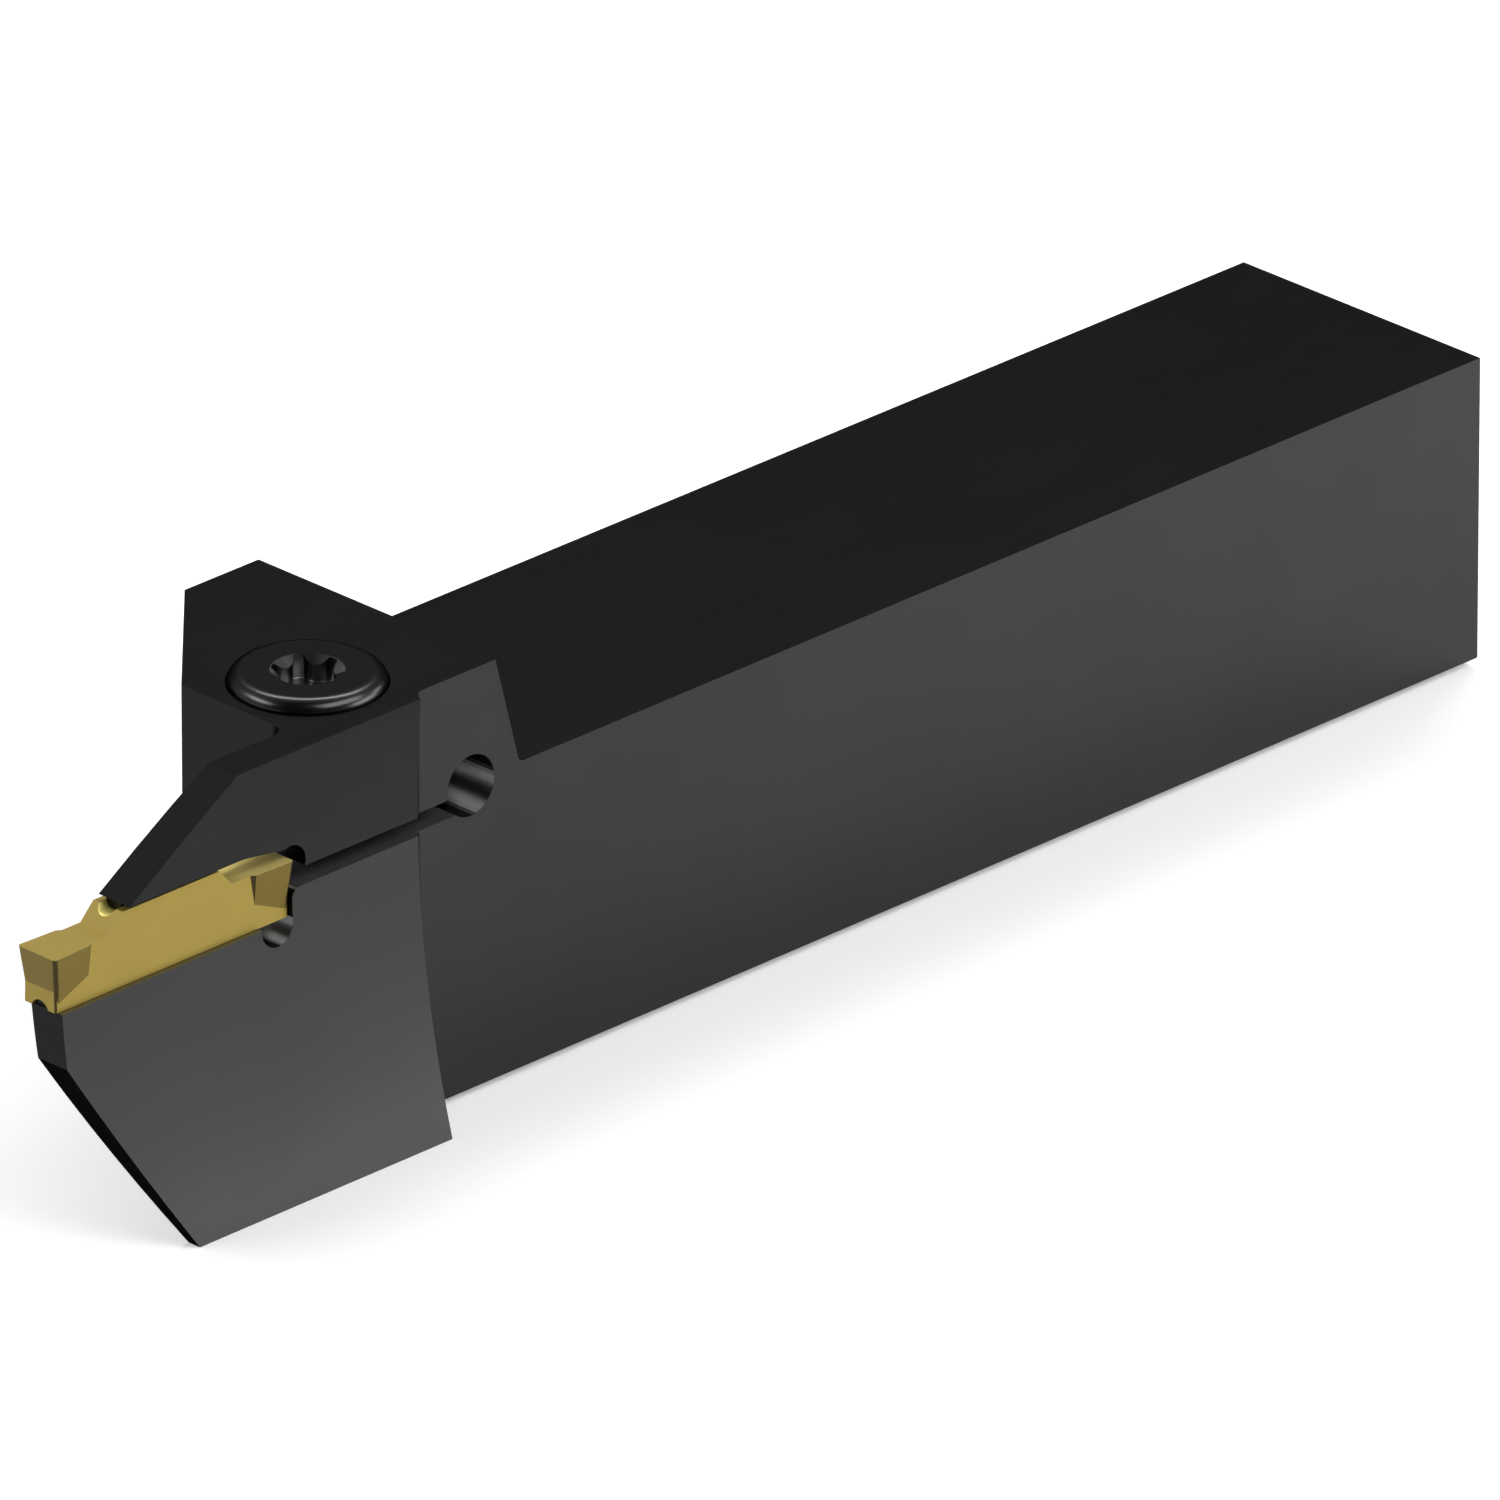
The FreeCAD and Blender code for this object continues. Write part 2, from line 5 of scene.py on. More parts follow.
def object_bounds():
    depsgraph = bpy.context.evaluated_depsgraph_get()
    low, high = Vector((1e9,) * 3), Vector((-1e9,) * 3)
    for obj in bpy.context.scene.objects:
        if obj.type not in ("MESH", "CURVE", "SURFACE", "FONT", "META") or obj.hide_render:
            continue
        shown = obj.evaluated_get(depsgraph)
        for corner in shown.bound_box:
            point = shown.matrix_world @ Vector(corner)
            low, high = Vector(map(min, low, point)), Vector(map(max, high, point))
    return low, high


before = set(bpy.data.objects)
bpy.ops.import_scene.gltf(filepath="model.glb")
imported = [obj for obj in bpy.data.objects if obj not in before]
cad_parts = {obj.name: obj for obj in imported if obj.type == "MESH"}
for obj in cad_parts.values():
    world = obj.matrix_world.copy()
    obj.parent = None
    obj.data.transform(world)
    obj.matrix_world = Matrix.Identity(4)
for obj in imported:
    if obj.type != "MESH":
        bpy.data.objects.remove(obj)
cad_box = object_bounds()


# ---- Camera -----------------------------------------------------------------
# A very long lens, 2.7 metres away, that looks down on the blade's side of the
# tool. Its place was worked out from the shank's parallel edges.
CAMERA_PLACE = Vector((1.7703186, 1.7046505, 1.1214266))
CAMERA_BACK = Vector((0.64086, 0.64086, 0.42262)).normalized()
LENS, SENSOR_WIDTH = 852.19, 36.0   # millimetres
FAR_CLIP = 20.0

camera_right = Vector((0, 0, 1)).cross(CAMERA_BACK).normalized()
camera_up = CAMERA_BACK.cross(camera_right)
camera_data = bpy.data.cameras.new("camera")
camera_data.lens = LENS
camera_data.sensor_width = SENSOR_WIDTH
camera_data.clip_end = FAR_CLIP
camera = bpy.data.objects.new("camera", camera_data)
camera.matrix_world = Matrix.Translation(CAMERA_PLACE) @ Matrix(
    (camera_right, camera_up, CAMERA_BACK)).transposed().to_4x4()
bpy.context.scene.collection.objects.link(camera)
bpy.context.scene.camera = camera
bpy.context.scene.view_settings.view_transform = "Standard"


# ---- Floor ------------------------------------------------------------------
# White table of matt laminate. The tool lies on it with the blade's foot, its
# lowest point. It shows white to the eye, and keeps a soft shadow.
FLOOR_COLOUR = "#F2F2F2"
FLOOR_SIZE = 12.0
FLOOR_LIFT = 0.3


def linear(colour):
    """A colour written as sRGB hex, as linear red, green, blue and alpha."""
    parts = [int(colour[at:at + 2], 16) / 255 for at in (1, 3, 5)]
    return [p / 12.92 if p <= 0.04045 else ((p + 0.055) / 1.055) ** 2.4
            for p in parts] + [1.0]


def add(tree, kind, inputs=None, **settings):
    """A node with its settings, its inputs linked or set."""
    node = tree.nodes.new(kind)
    for name, value in settings.items():
        setattr(node, name, value)
    for socket, source in (inputs or {}).items():
        if isinstance(source, bpy.types.NodeSocket):
            tree.links.new(source, node.inputs[socket])
        else:
            node.inputs[socket].default_value = source
    return node


def new_material(name):
    """An empty node material, and its tree."""
    material = bpy.data.materials.new(name)
    material.use_nodes = True
    material.node_tree.nodes.clear()
    return material, material.node_tree


floor_paint, tree = new_material("matt_white_laminate")
diffuse = add(tree, "ShaderNodeBsdfDiffuse", {"Color": linear(FLOOR_COLOUR)})
path = add(tree, "ShaderNodeLightPath")
seen = add(tree, "ShaderNodeMath", {0: path.outputs["Is Camera Ray"],
                                    1: path.outputs["Is Glossy Ray"]},
           operation="MAXIMUM")
seen = add(tree, "ShaderNodeMath", {0: seen.outputs[0],
                                    1: path.outputs["Is Transmission Ray"]},
           operation="MAXIMUM")
lift = add(tree, "ShaderNodeMath", {0: seen.outputs[0], 1: FLOOR_LIFT},
           operation="MULTIPLY")
glow = add(tree, "ShaderNodeEmission", {"Strength": lift.outputs[0]})
both = add(tree, "ShaderNodeAddShader", {0: diffuse.outputs[0], 1: glow.outputs[0]})
add(tree, "ShaderNodeOutputMaterial", {"Surface": both.outputs[0]})

half = FLOOR_SIZE / 2
floor_level = cad_box[0].z
floor_mesh = bpy.data.meshes.new("floor")
floor_mesh.from_pydata([(x, y, floor_level) for x, y in
                        ((-half, -half), (half, -half), (half, half), (-half, half))],
                       [], [(0, 1, 2, 3)])
floor_mesh.materials.append(floor_paint)
floor = bpy.data.objects.new("floor", floor_mesh)
bpy.context.scene.collection.objects.link(floor)


# ---- Light ------------------------------------------------------------------
# A grey room with five soft boxes, and a dark cloth behind the camera that keeps the
# rounded edges crisp. The key lights the tool from above its blade's side.
ROOM_COLOUR = "#B6B6B6"
CLOTH_COLOUR = "#2C2C2C"
CLOTH_SIDE = (0.6, 0.6, 0.53)   # towards the middle of the cloth
CLOTH_EDGE = (0.2, 0.7)         # how far towards it the cloth begins and is full
SOFT_BOXES = {   # towards the lamp, how far, its width and height, and its watts
    "key": ((-0.1, 0.66, 0.74), 0.5, (0.5, 0.24), 1.5),
    "back": ((-0.41, -0.40, 0.82), 1.2, (0.8, 0.28), 7.0),
    "left": ((0.70, -0.46, 0.54), 0.6, (0.36, 0.16), 1.1),
    "right": ((-0.9, 0.33, 0.29), 0.6, (0.16, 0.16), 0.4),
    "sheen": ((-0.62, 0.77, 0.12), 0.6, (0.5, 0.25), 1.8),
}

middle = (cad_box[0] + cad_box[1]) / 2
for name, (towards, away, size, watts) in SOFT_BOXES.items():
    lamp_data = bpy.data.lights.new(name, "AREA")
    lamp_data.shape = "RECTANGLE"
    lamp_data.size, lamp_data.size_y = size
    lamp_data.energy = watts
    lamp = bpy.data.objects.new(name, lamp_data)
    towards = Vector(towards).normalized()
    lamp.matrix_world = Matrix.Translation(middle + towards * away) @ (
        towards.to_track_quat("Z", "Y").to_matrix().to_4x4())
    bpy.context.scene.collection.objects.link(lamp)

world = bpy.data.worlds.new("room")
world.use_nodes = True
world.node_tree.nodes.clear()
tree = world.node_tree
towards = add(tree, "ShaderNodeTexCoord").outputs["Generated"]
side = add(tree, "ShaderNodeVectorMath", {0: towards, 1: CLOTH_SIDE},
           operation="DOT_PRODUCT")
cloth = add(tree, "ShaderNodeMapRange", {"Value": side.outputs["Value"],
                                         "From Min": CLOTH_EDGE[0],
                                         "From Max": CLOTH_EDGE[1]})
grey = add(tree, "ShaderNodeMix", {"Factor": cloth.outputs[0], 6: linear(ROOM_COLOUR),
                                   7: linear(CLOTH_COLOUR)}, data_type="RGBA")
air = add(tree, "ShaderNodeBackground", {"Color": grey.outputs[2]})
add(tree, "ShaderNodeOutputWorld", {"Surface": air.outputs[0]})
bpy.context.scene.world = world


# ---- Holder -----------------------------------------------------------------
# Shank, head and curved blade in one piece: hardened tool steel, milled and
# ground to size and then blackened in hot oxide.
MILLED_COLOUR, MILLED_DARK = "#333333", "#2F2F2F"
# The ground side, painted paler than the milled faces as painted light.
GROUND_LIT_COLOUR, GROUND_LIT_DARK = "#414141", "#3D3D3D"
GRAZING_COLOUR = "#868686"      # of light that glances off, which the oxide dims
GRINDING = (60, 3300, 3300)     # long lines along X, drawn 0.3 mm apart
LINE_STRENGTH, LINE_DEPTH = 0.1, 0.00001
STEEL_ROUGHNESS = (0.27, 0.36)
PATCHES = 120.0                 # of oxide per metre, each about 8 mm wide
GROUND_LIT_FACING = (0.7, 0.8)      # the normal's Y where the ground look and its painted light begin and are full
JAW_SIDE, JAW_FOOT = 0.01255, 0.0110   # the jaw is beyond this Y and above this Z
SHANK_SHADE = (1.12, 0.87)      # painted shade of its pale side, against the blade: rear and front
SHANK_FRONT = 0.105             # X where the shank ends
FRONT_FACING = (0.9, 0.98)      # the normal's X of a face that looks forwards
FRONT_SHADE = 0.78
# Seat and stop: worn by the insert, and painted brighter as painted light.
SEAT_WORN_LIT_COLOUR, STOP_WORN_LIT_COLOUR, SEAT_ROUGHNESS = "#7C7C7C", "#D8D8D8", 0.3
SEAT_LEVEL = 0.00801            # Z of the seat
STOP = {"X": (0.1252, 0.12599), "Z": (0.0082, 0.0103)}
STOP_FACING = 0.05              # least normal's X on the stop and its rounded top
# The bore's dark colour is painted shade, low and high on its walls.
BORE_COLOUR, BORE_PAINTED_SHADE, BORE_ROUGHNESS = "#8C8C8C", "#141414", 0.5
BORES = (
    (0.10731, 0.01223, 0.00245),   # hinge hole: X and Z of its axis, and its radius
    (0.12792, 0.00784, 0.00160),   # relief in the corner of the seat
)
SHADE_BELOW = (0.35, 0.12)        # the normal's X where the painted shade low on a wall begins and is full
SHADE_ABOVE = (0.0, -0.25)        # the normal's Z where the painted shade high on a wall does
SLOT_COLOUR, SLOT_METALLIC, SLOT_ROUGHNESS = "#3B3B3B", 0.3, 0.7
SLOT = {"X": (0.1075, 0.1264), "Z": (0.01028, 0.01182)}
HAIR = 0.00001                  # how far past a wall its mask reaches


def off_axis(tree, place, point, across):
    """Distance from a line through a point; across is 0 for the axis it runs along."""
    flat = add(tree, "ShaderNodeVectorMath", {
        0: place, 1: across, 2: [-p * a for p, a in zip(point, across)]},
        operation="MULTIPLY_ADD")
    return add(tree, "ShaderNodeVectorMath", {0: flat.outputs[0]},
               operation="LENGTH").outputs["Value"]


def within(tree, part, ranges):
    """1 where X, Y or Z is in the range given for it, otherwise 0."""
    inside = None
    for axis, (first, last) in ranges.items():
        between = add(tree, "ShaderNodeMath", {
            0: part.outputs[axis], 1: (first + last) / 2, 2: (last - first) / 2},
            operation="COMPARE").outputs[0]
        inside = between if inside is None else add(
            tree, "ShaderNodeMath", {0: inside, 1: between},
            operation="MULTIPLY").outputs[0]
    return inside


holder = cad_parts["holder"]
blackened_steel, tree = new_material("blackened_ground_steel")
place = add(tree, "ShaderNodeTexCoord").outputs["Object"]
part = add(tree, "ShaderNodeSeparateXYZ", {0: place})
facing = add(tree, "ShaderNodeNewGeometry").outputs["True Normal"]
facing = add(tree, "ShaderNodeSeparateXYZ", {0: facing})
# Grinding lines run along the tool, 0.05 mm apart on the real one and drawn coarser.
# They give the flat faces their fine directional sheen.
along = add(tree, "ShaderNodeMapping", {"Vector": place, "Scale": GRINDING})
lines = add(tree, "ShaderNodeTexNoise", {"Vector": along.outputs[0], "Scale": 1.0,
                                         "Detail": 3.0, "Roughness": 0.6})
# The oxide is a little uneven.
patches = add(tree, "ShaderNodeTexNoise", {"Vector": place, "Scale": PATCHES,
                                           "Detail": 4.0, "Roughness": 0.55})
milled = add(tree, "ShaderNodeMix", {"Factor": patches.outputs["Fac"],
                                     6: linear(MILLED_DARK), 7: linear(MILLED_COLOUR)},
             data_type="RGBA")
ground_lit = add(tree, "ShaderNodeMix", {"Factor": patches.outputs["Fac"],
                                     6: linear(GROUND_LIT_DARK), 7: linear(GROUND_LIT_COLOUR)},
             data_type="RGBA")
# The blade's side of the shank and the blade itself are ground, and painted paler as
# painted light. The jaw's own side keeps the darker colour, as painted shade.
sideways = add(tree, "ShaderNodeMapRange", {"Value": facing.outputs["Y"],
                                            "From Min": GROUND_LIT_FACING[0],
                                            "From Max": GROUND_LIT_FACING[1]})
under = add(tree, "ShaderNodeMath", {0: part.outputs["Z"], 1: JAW_FOOT},
            operation="LESS_THAN")
inward = add(tree, "ShaderNodeMath", {0: part.outputs["Y"], 1: JAW_SIDE},
             operation="LESS_THAN")
off_jaw = add(tree, "ShaderNodeMath", {0: under.outputs[0], 1: inward.outputs[0]},
              operation="MAXIMUM")
# Painted shade: the shank's pale side is painted darker towards the head.
shade = add(tree, "ShaderNodeMapRange", {"Value": part.outputs["X"],
                                         "From Max": SHANK_FRONT,
                                         "To Min": SHANK_SHADE[0],
                                         "To Max": SHANK_SHADE[1]})
shaded = add(tree, "ShaderNodeVectorMath", {0: ground_lit.outputs[2],
                                            "Scale": shade.outputs[0]},
             operation="SCALE")
ground_lit = add(tree, "ShaderNodeMix", {"Factor": inward.outputs[0], 6: ground_lit.outputs[2],
                                     7: shaded.outputs[0]}, data_type="RGBA")
paler = add(tree, "ShaderNodeMath", {0: sideways.outputs[0], 1: off_jaw.outputs[0]},
            operation="MULTIPLY")
tone = add(tree, "ShaderNodeMix", {"Factor": paler.outputs[0], 6: milled.outputs[2],
                                   7: ground_lit.outputs[2]}, data_type="RGBA")
# Painted shade: faces that look forwards are painted darker.
frontal = add(tree, "ShaderNodeMapRange", {"Value": facing.outputs["X"],
                                           "From Min": FRONT_FACING[0],
                                           "From Max": FRONT_FACING[1],
                                           "To Min": 1.0, "To Max": FRONT_SHADE})
tone = add(tree, "ShaderNodeVectorMath", {0: tone.outputs[2],
                                          "Scale": frontal.outputs[0]},
           operation="SCALE")
roughness = add(tree, "ShaderNodeMapRange", {"Value": lines.outputs["Fac"],
                                             "To Min": STEEL_ROUGHNESS[0],
                                             "To Max": STEEL_ROUGHNESS[1]})
relief = add(tree, "ShaderNodeBump", {"Height": lines.outputs["Fac"],
                                      "Strength": LINE_STRENGTH,
                                      "Distance": LINE_DEPTH})
steel = add(tree, "ShaderNodeBsdfPrincipled", {
    "Base Color": tone.outputs[0], "Metallic": 1.0,
    "Specular Tint": linear(GRAZING_COLOUR),
    "Roughness": roughness.outputs[0], "Normal": relief.outputs[0]})
# The insert has rubbed its seat and stop, and they are painted brighter still, as painted
# light in the recess; they show there as in a dull mirror.
seat = add(tree, "ShaderNodeMath", {0: part.outputs["Z"], 1: SEAT_LEVEL, 2: HAIR},
           operation="COMPARE")
seat = add(tree, "ShaderNodeMath", {0: seat.outputs[0], 1: facing.outputs["Z"]},
           operation="MULTIPLY", use_clamp=True)
stop = add(tree, "ShaderNodeMath", {0: facing.outputs["X"], 1: STOP_FACING},
           operation="GREATER_THAN")
stop = add(tree, "ShaderNodeMath", {0: stop.outputs[0], 1: within(tree, part, STOP)},
           operation="MULTIPLY")
touched_and_lit = add(tree, "ShaderNodeMath", {0: seat.outputs[0], 1: stop.outputs[0]},
              operation="MAXIMUM")
bright = add(tree, "ShaderNodeMix", {"Factor": stop.outputs[0], 6: linear(SEAT_WORN_LIT_COLOUR),
                                     7: linear(STOP_WORN_LIT_COLOUR)}, data_type="RGBA")
rubbed_and_lit = add(tree, "ShaderNodeBsdfPrincipled", {
    "Base Color": bright.outputs[2], "Metallic": 1.0, "Roughness": SEAT_ROUGHNESS})
steel = add(tree, "ShaderNodeMixShader", {0: touched_and_lit.outputs[0], 1: steel.outputs[0],
                                          2: rubbed_and_lit.outputs[0]})
# Reamed bores: fine rings round their walls draw each lamp out to a streak along the
# bore. The lowest and highest lines of a wall are painted dark, as painted shade.
inside = None
for x, z, radius in BORES:
    away = off_axis(tree, place, (x, 0, z), (1, 0, 1))
    wall = add(tree, "ShaderNodeMath", {0: away, 1: radius + HAIR},
               operation="LESS_THAN")
    inside = wall if inside is None else add(
        tree, "ShaderNodeMath", {0: inside.outputs[0], 1: wall.outputs[0]},
        operation="MAXIMUM")
below = add(tree, "ShaderNodeMapRange", {"Value": facing.outputs["X"],
                                         "From Min": SHADE_BELOW[0],
                                         "From Max": SHADE_BELOW[1]})
above = add(tree, "ShaderNodeMapRange", {"Value": facing.outputs["Z"],
                                         "From Min": SHADE_ABOVE[0],
                                         "From Max": SHADE_ABOVE[1]})
painted_shade = add(tree, "ShaderNodeMath", {0: below.outputs[0], 1: above.outputs[0]},
          operation="MAXIMUM")
tone = add(tree, "ShaderNodeMix", {"Factor": painted_shade.outputs[0], 6: linear(BORE_COLOUR),
                                   7: linear(BORE_PAINTED_SHADE)}, data_type="RGBA")
axis = add(tree, "ShaderNodeCombineXYZ", {"Y": 1.0})
bore = add(tree, "ShaderNodeBsdfPrincipled", {
    "Base Color": tone.outputs[2], "Metallic": 1.0, "Roughness": BORE_ROUGHNESS,
    "Specular Tint": linear(GRAZING_COLOUR), "Anisotropic": 1.0,
    "Tangent": axis.outputs[0]})
steel = add(tree, "ShaderNodeMixShader", {0: inside.outputs[0], 1: steel.outputs[0],
                                          2: bore.outputs[0]})
# The slot is cut by wire, which leaves its walls matt.
matt = add(tree, "ShaderNodeBsdfPrincipled", {
    "Base Color": linear(SLOT_COLOUR), "Metallic": SLOT_METALLIC,
    "Roughness": SLOT_ROUGHNESS})
steel = add(tree, "ShaderNodeMixShader", {0: within(tree, part, SLOT),
                                          1: steel.outputs[0], 2: matt.outputs[0]})
add(tree, "ShaderNodeOutputMaterial", {"Surface": steel.outputs[0]})
holder.data.materials.clear()
holder.data.materials.append(blackened_steel)


# ---- Insert -----------------------------------------------------------------
# Reversible cutting insert of sintered carbide, ground and then coated with gold
# titanium nitride. The jaws hold it on their rails.
GOLD_COLOUR, GOLD_DARK = "#95823B", "#8D7B38"
GOLD_GLINT = "#FFE4A0"          # of light that glances off the coating
GOLD_METALLIC, GOLD_ROUGHNESS = 0.35, (0.34, 0.46)
GRAIN = 9000.0                  # grains per metre, drawn 0.1 mm wide
GRAIN_STRENGTH, GRAIN_DEPTH = 0.1, 0.000005
CLOUDS = 500.0                  # of colour per metre, each 2 mm wide
# Painted shade: the clearance faces are painted deeper in colour.
CLEARANCE_SHADE_COLOUR = "#665723"
CLEARANCE_FACING = (-0.03, -0.08)   # the normal's Z where leaning begins and is full
# Painted shade: the corners are painted brown.
CORNER_SHADE_COLOUR = "#2A200C"
CORNER_TURN = (0.06, 0.16)      # its normal's X times Y where it begins and is full
# Painted shade: the ridges' front slopes are painted darker.
SLOPE_SHADE_COLOUR = "#897739"
SLOPE_TURN = 0.35               # least normal's X times its Z on a ridge's front slope
# Painted light: the rear edge's rake face, shaded by the jaw, is painted bright.
REAR_RAKE_LIGHT_COLOUR = "#FFEA8E"
REAR_RAKE_LIGHT_REACH = (0.1345, 0.1305)  # X where the painted light on the rear rake face begins and is full
REAR_RAKE_LIGHT_FACING = (0.2, 0.9)       # the normal's Z where it does
# Painted highlight: the jaw rail's groove is painted pale.
GROOVE_HIGHLIGHT_COLOUR = "#FFF08C"
GROOVE = (0.011063, 0.0142, 0.0009)   # upper groove: Y and Z of its axis, its radius

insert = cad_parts["insert"]
coated_carbide, tree = new_material("gold_nitride_coating")
place = add(tree, "ShaderNodeTexCoord").outputs["Object"]
part = add(tree, "ShaderNodeSeparateXYZ", {0: place})
facing = add(tree, "ShaderNodeNewGeometry").outputs["True Normal"]
facing = add(tree, "ShaderNodeSeparateXYZ", {0: facing})
# The coating follows the sintered grain, about 0.001 mm on the real one and drawn
# coarser, which leaves it satin.
grain = add(tree, "ShaderNodeTexNoise", {"Vector": place, "Scale": GRAIN,
                                         "Detail": 2.0})
clouds = add(tree, "ShaderNodeTexNoise", {"Vector": place, "Scale": CLOUDS,
                                          "Detail": 3.0})
tone = add(tree, "ShaderNodeMix", {"Factor": clouds.outputs["Fac"],
                                   6: linear(GOLD_DARK), 7: linear(GOLD_COLOUR)},
           data_type="RGBA")
# Painted shade: the clearance faces, which lean back under the edges, are painted
# deeper in colour.
leaning = add(tree, "ShaderNodeMapRange", {"Value": facing.outputs["Z"],
                                           "From Min": CLEARANCE_FACING[0],
                                           "From Max": CLEARANCE_FACING[1]})
tone = add(tree, "ShaderNodeMix", {"Factor": leaning.outputs[0], 6: tone.outputs[2],
                                   7: linear(CLEARANCE_SHADE_COLOUR)}, data_type="RGBA")
# Painted shade: round the corners and at the inner ends of those faces the coating is
# painted brown.
endways = add(tree, "ShaderNodeMath", {0: facing.outputs["X"]}, operation="ABSOLUTE")
corner_shade = add(tree, "ShaderNodeMath", {0: endways.outputs[0], 1: facing.outputs["Y"]},
              operation="MULTIPLY")
corner_shade = add(tree, "ShaderNodeMapRange", {"Value": corner_shade.outputs[0],
                                           "From Min": CORNER_TURN[0],
                                           "From Max": CORNER_TURN[1]})
tone = add(tree, "ShaderNodeMix", {"Factor": corner_shade.outputs[0], 6: tone.outputs[2],
                                   7: linear(CORNER_SHADE_COLOUR)}, data_type="RGBA")
# Painted shade: the front slopes of the ridges are painted a little darker.
slope = add(tree, "ShaderNodeMath", {0: facing.outputs["X"], 1: facing.outputs["Z"]},
            operation="MULTIPLY")
slope = add(tree, "ShaderNodeMath", {0: slope.outputs[0], 1: SLOPE_TURN},
            operation="GREATER_THAN")
tone = add(tree, "ShaderNodeMix", {"Factor": slope.outputs[0], 6: tone.outputs[2],
                                   7: linear(SLOPE_SHADE_COLOUR)}, data_type="RGBA")
# Painted light: the rake face of the rear edge, which the jaw shades, is painted bright.
behind = add(tree, "ShaderNodeMapRange", {"Value": part.outputs["X"],
                                          "From Min": REAR_RAKE_LIGHT_REACH[0],
                                          "From Max": REAR_RAKE_LIGHT_REACH[1]})
upward = add(tree, "ShaderNodeMapRange", {"Value": facing.outputs["Z"],
                                          "From Min": REAR_RAKE_LIGHT_FACING[0],
                                          "From Max": REAR_RAKE_LIGHT_FACING[1]})
rear_rake_light = add(tree, "ShaderNodeMath", {0: behind.outputs[0], 1: upward.outputs[0]},
            operation="MULTIPLY")
tone = add(tree, "ShaderNodeMix", {"Factor": rear_rake_light.outputs[0], 6: tone.outputs[2],
                                   7: linear(REAR_RAKE_LIGHT_COLOUR)}, data_type="RGBA")
# Painted highlight: the groove under the jaw's rail is painted pale.
away = off_axis(tree, place, (0, GROOVE[0], GROOVE[1]), (0, 1, 1))
groove_highlight = add(tree, "ShaderNodeMath", {0: away, 1: GROOVE[2] + HAIR},
               operation="LESS_THAN")
tone = add(tree, "ShaderNodeMix", {"Factor": groove_highlight.outputs[0], 6: tone.outputs[2],
                                   7: linear(GROOVE_HIGHLIGHT_COLOUR)}, data_type="RGBA")
roughness = add(tree, "ShaderNodeMapRange", {"Value": grain.outputs["Fac"],
                                             "To Min": GOLD_ROUGHNESS[0],
                                             "To Max": GOLD_ROUGHNESS[1]})
relief = add(tree, "ShaderNodeBump", {"Height": grain.outputs["Fac"],
                                      "Strength": GRAIN_STRENGTH,
                                      "Distance": GRAIN_DEPTH})
gold = add(tree, "ShaderNodeBsdfPrincipled", {
    "Base Color": tone.outputs[2], "Metallic": GOLD_METALLIC,
    "Specular Tint": linear(GOLD_GLINT),
    "Roughness": roughness.outputs[0], "Normal": relief.outputs[0]})
add(tree, "ShaderNodeOutputMaterial", {"Surface": gold.outputs[0]})
insert.data.materials.clear()
insert.data.materials.append(coated_carbide)


# ---- Clamp screw ------------------------------------------------------------
# M6 screw with a six-lobed socket, cold-headed, rolled and blackened. It goes
# through the upper jaw into the head and pulls the jaw down.
SCREW_COLOUR = "#404040"
SCREW_ROUGHNESS = (0.24, 0.28)
SPECKS = 4000.0                 # per metre, drawn 0.25 mm wide
SPECK_STRENGTH, SPECK_DEPTH = 0.01, 0.00001
# Socket walls and floor: worn, and painted brighter as painted light.
SOCKET_WORN_LIT_COLOUR, SOCKET_FLOOR_WORN_LIT_COLOUR, SOCKET_ROUGHNESS = "#5C5C5C", "#E0E0E0", 0.22
SOCKET = (0.11712, 0.0054, 0.002815)      # X and Y of its axis, and its radius
SOCKET_DEPTH = {"Z": (0.0206, 0.02262)}   # from below its floor to near its mouth
SOCKET_FLOOR = 0.0207           # a Z just above its floor

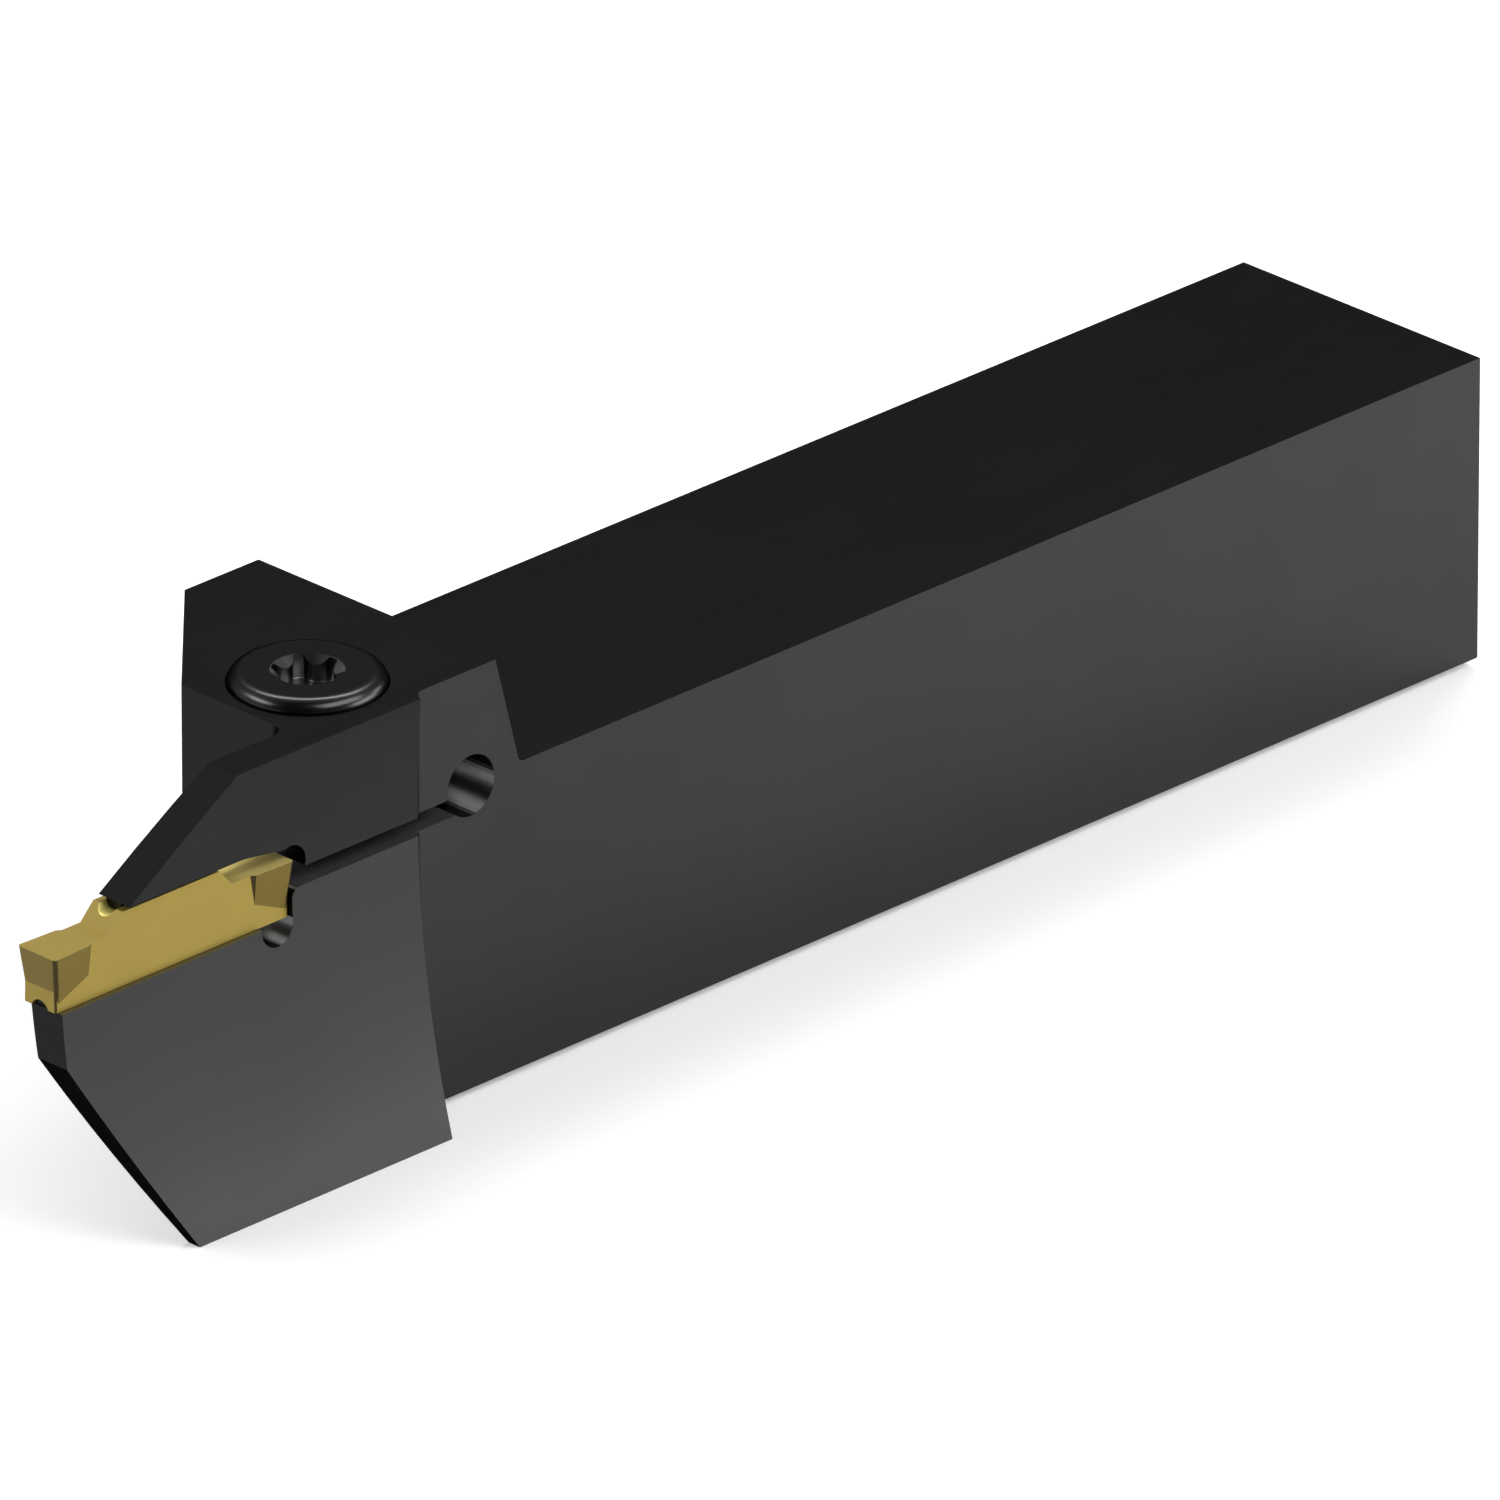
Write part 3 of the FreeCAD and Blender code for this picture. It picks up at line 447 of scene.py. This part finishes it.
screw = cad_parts["clamp_screw"]
screw_steel, tree = new_material("oiled_black_oxide")
place = add(tree, "ShaderNodeTexCoord").outputs["Object"]
part = add(tree, "ShaderNodeSeparateXYZ", {0: place})
# Barrel finishing before the oxide leaves specks, about 0.05 mm on the real one and
# drawn coarser.
specks = add(tree, "ShaderNodeTexNoise", {"Vector": place, "Scale": SPECKS,
                                          "Detail": 3.0})
roughness = add(tree, "ShaderNodeMapRange", {"Value": specks.outputs["Fac"],
                                             "To Min": SCREW_ROUGHNESS[0],
                                             "To Max": SCREW_ROUGHNESS[1]})
relief = add(tree, "ShaderNodeBump", {"Height": specks.outputs["Fac"],
                                      "Strength": SPECK_STRENGTH,
                                      "Distance": SPECK_DEPTH})
black = add(tree, "ShaderNodeBsdfPrincipled", {
    "Base Color": linear(SCREW_COLOUR), "Metallic": 1.0,
    "Specular Tint": linear(GRAZING_COLOUR),
    "Roughness": roughness.outputs[0], "Normal": relief.outputs[0]})
# The driver has rubbed the socket down to grey steel; walls and floor are painted brighter
# still, the floor most, as painted light in the deep socket.
away = off_axis(tree, place, (SOCKET[0], SOCKET[1], 0), (1, 1, 0))
near = add(tree, "ShaderNodeMath", {0: away, 1: SOCKET[2]}, operation="LESS_THAN")
worn_and_lit = add(tree, "ShaderNodeMath", {0: near.outputs[0],
                                    1: within(tree, part, SOCKET_DEPTH)},
           operation="MULTIPLY")
deepest = add(tree, "ShaderNodeMath", {0: part.outputs["Z"], 1: SOCKET_FLOOR},
              operation="LESS_THAN")
tone = add(tree, "ShaderNodeMix", {"Factor": deepest.outputs[0],
                                   6: linear(SOCKET_WORN_LIT_COLOUR),
                                   7: linear(SOCKET_FLOOR_WORN_LIT_COLOUR)},
           data_type="RGBA")
grey = add(tree, "ShaderNodeBsdfPrincipled", {
    "Base Color": tone.outputs[2], "Metallic": 1.0, "Roughness": SOCKET_ROUGHNESS})
black = add(tree, "ShaderNodeMixShader", {0: worn_and_lit.outputs[0], 1: black.outputs[0],
                                          2: grey.outputs[0]})
add(tree, "ShaderNodeOutputMaterial", {"Surface": black.outputs[0]})
screw.data.materials.clear()
screw.data.materials.append(screw_steel)
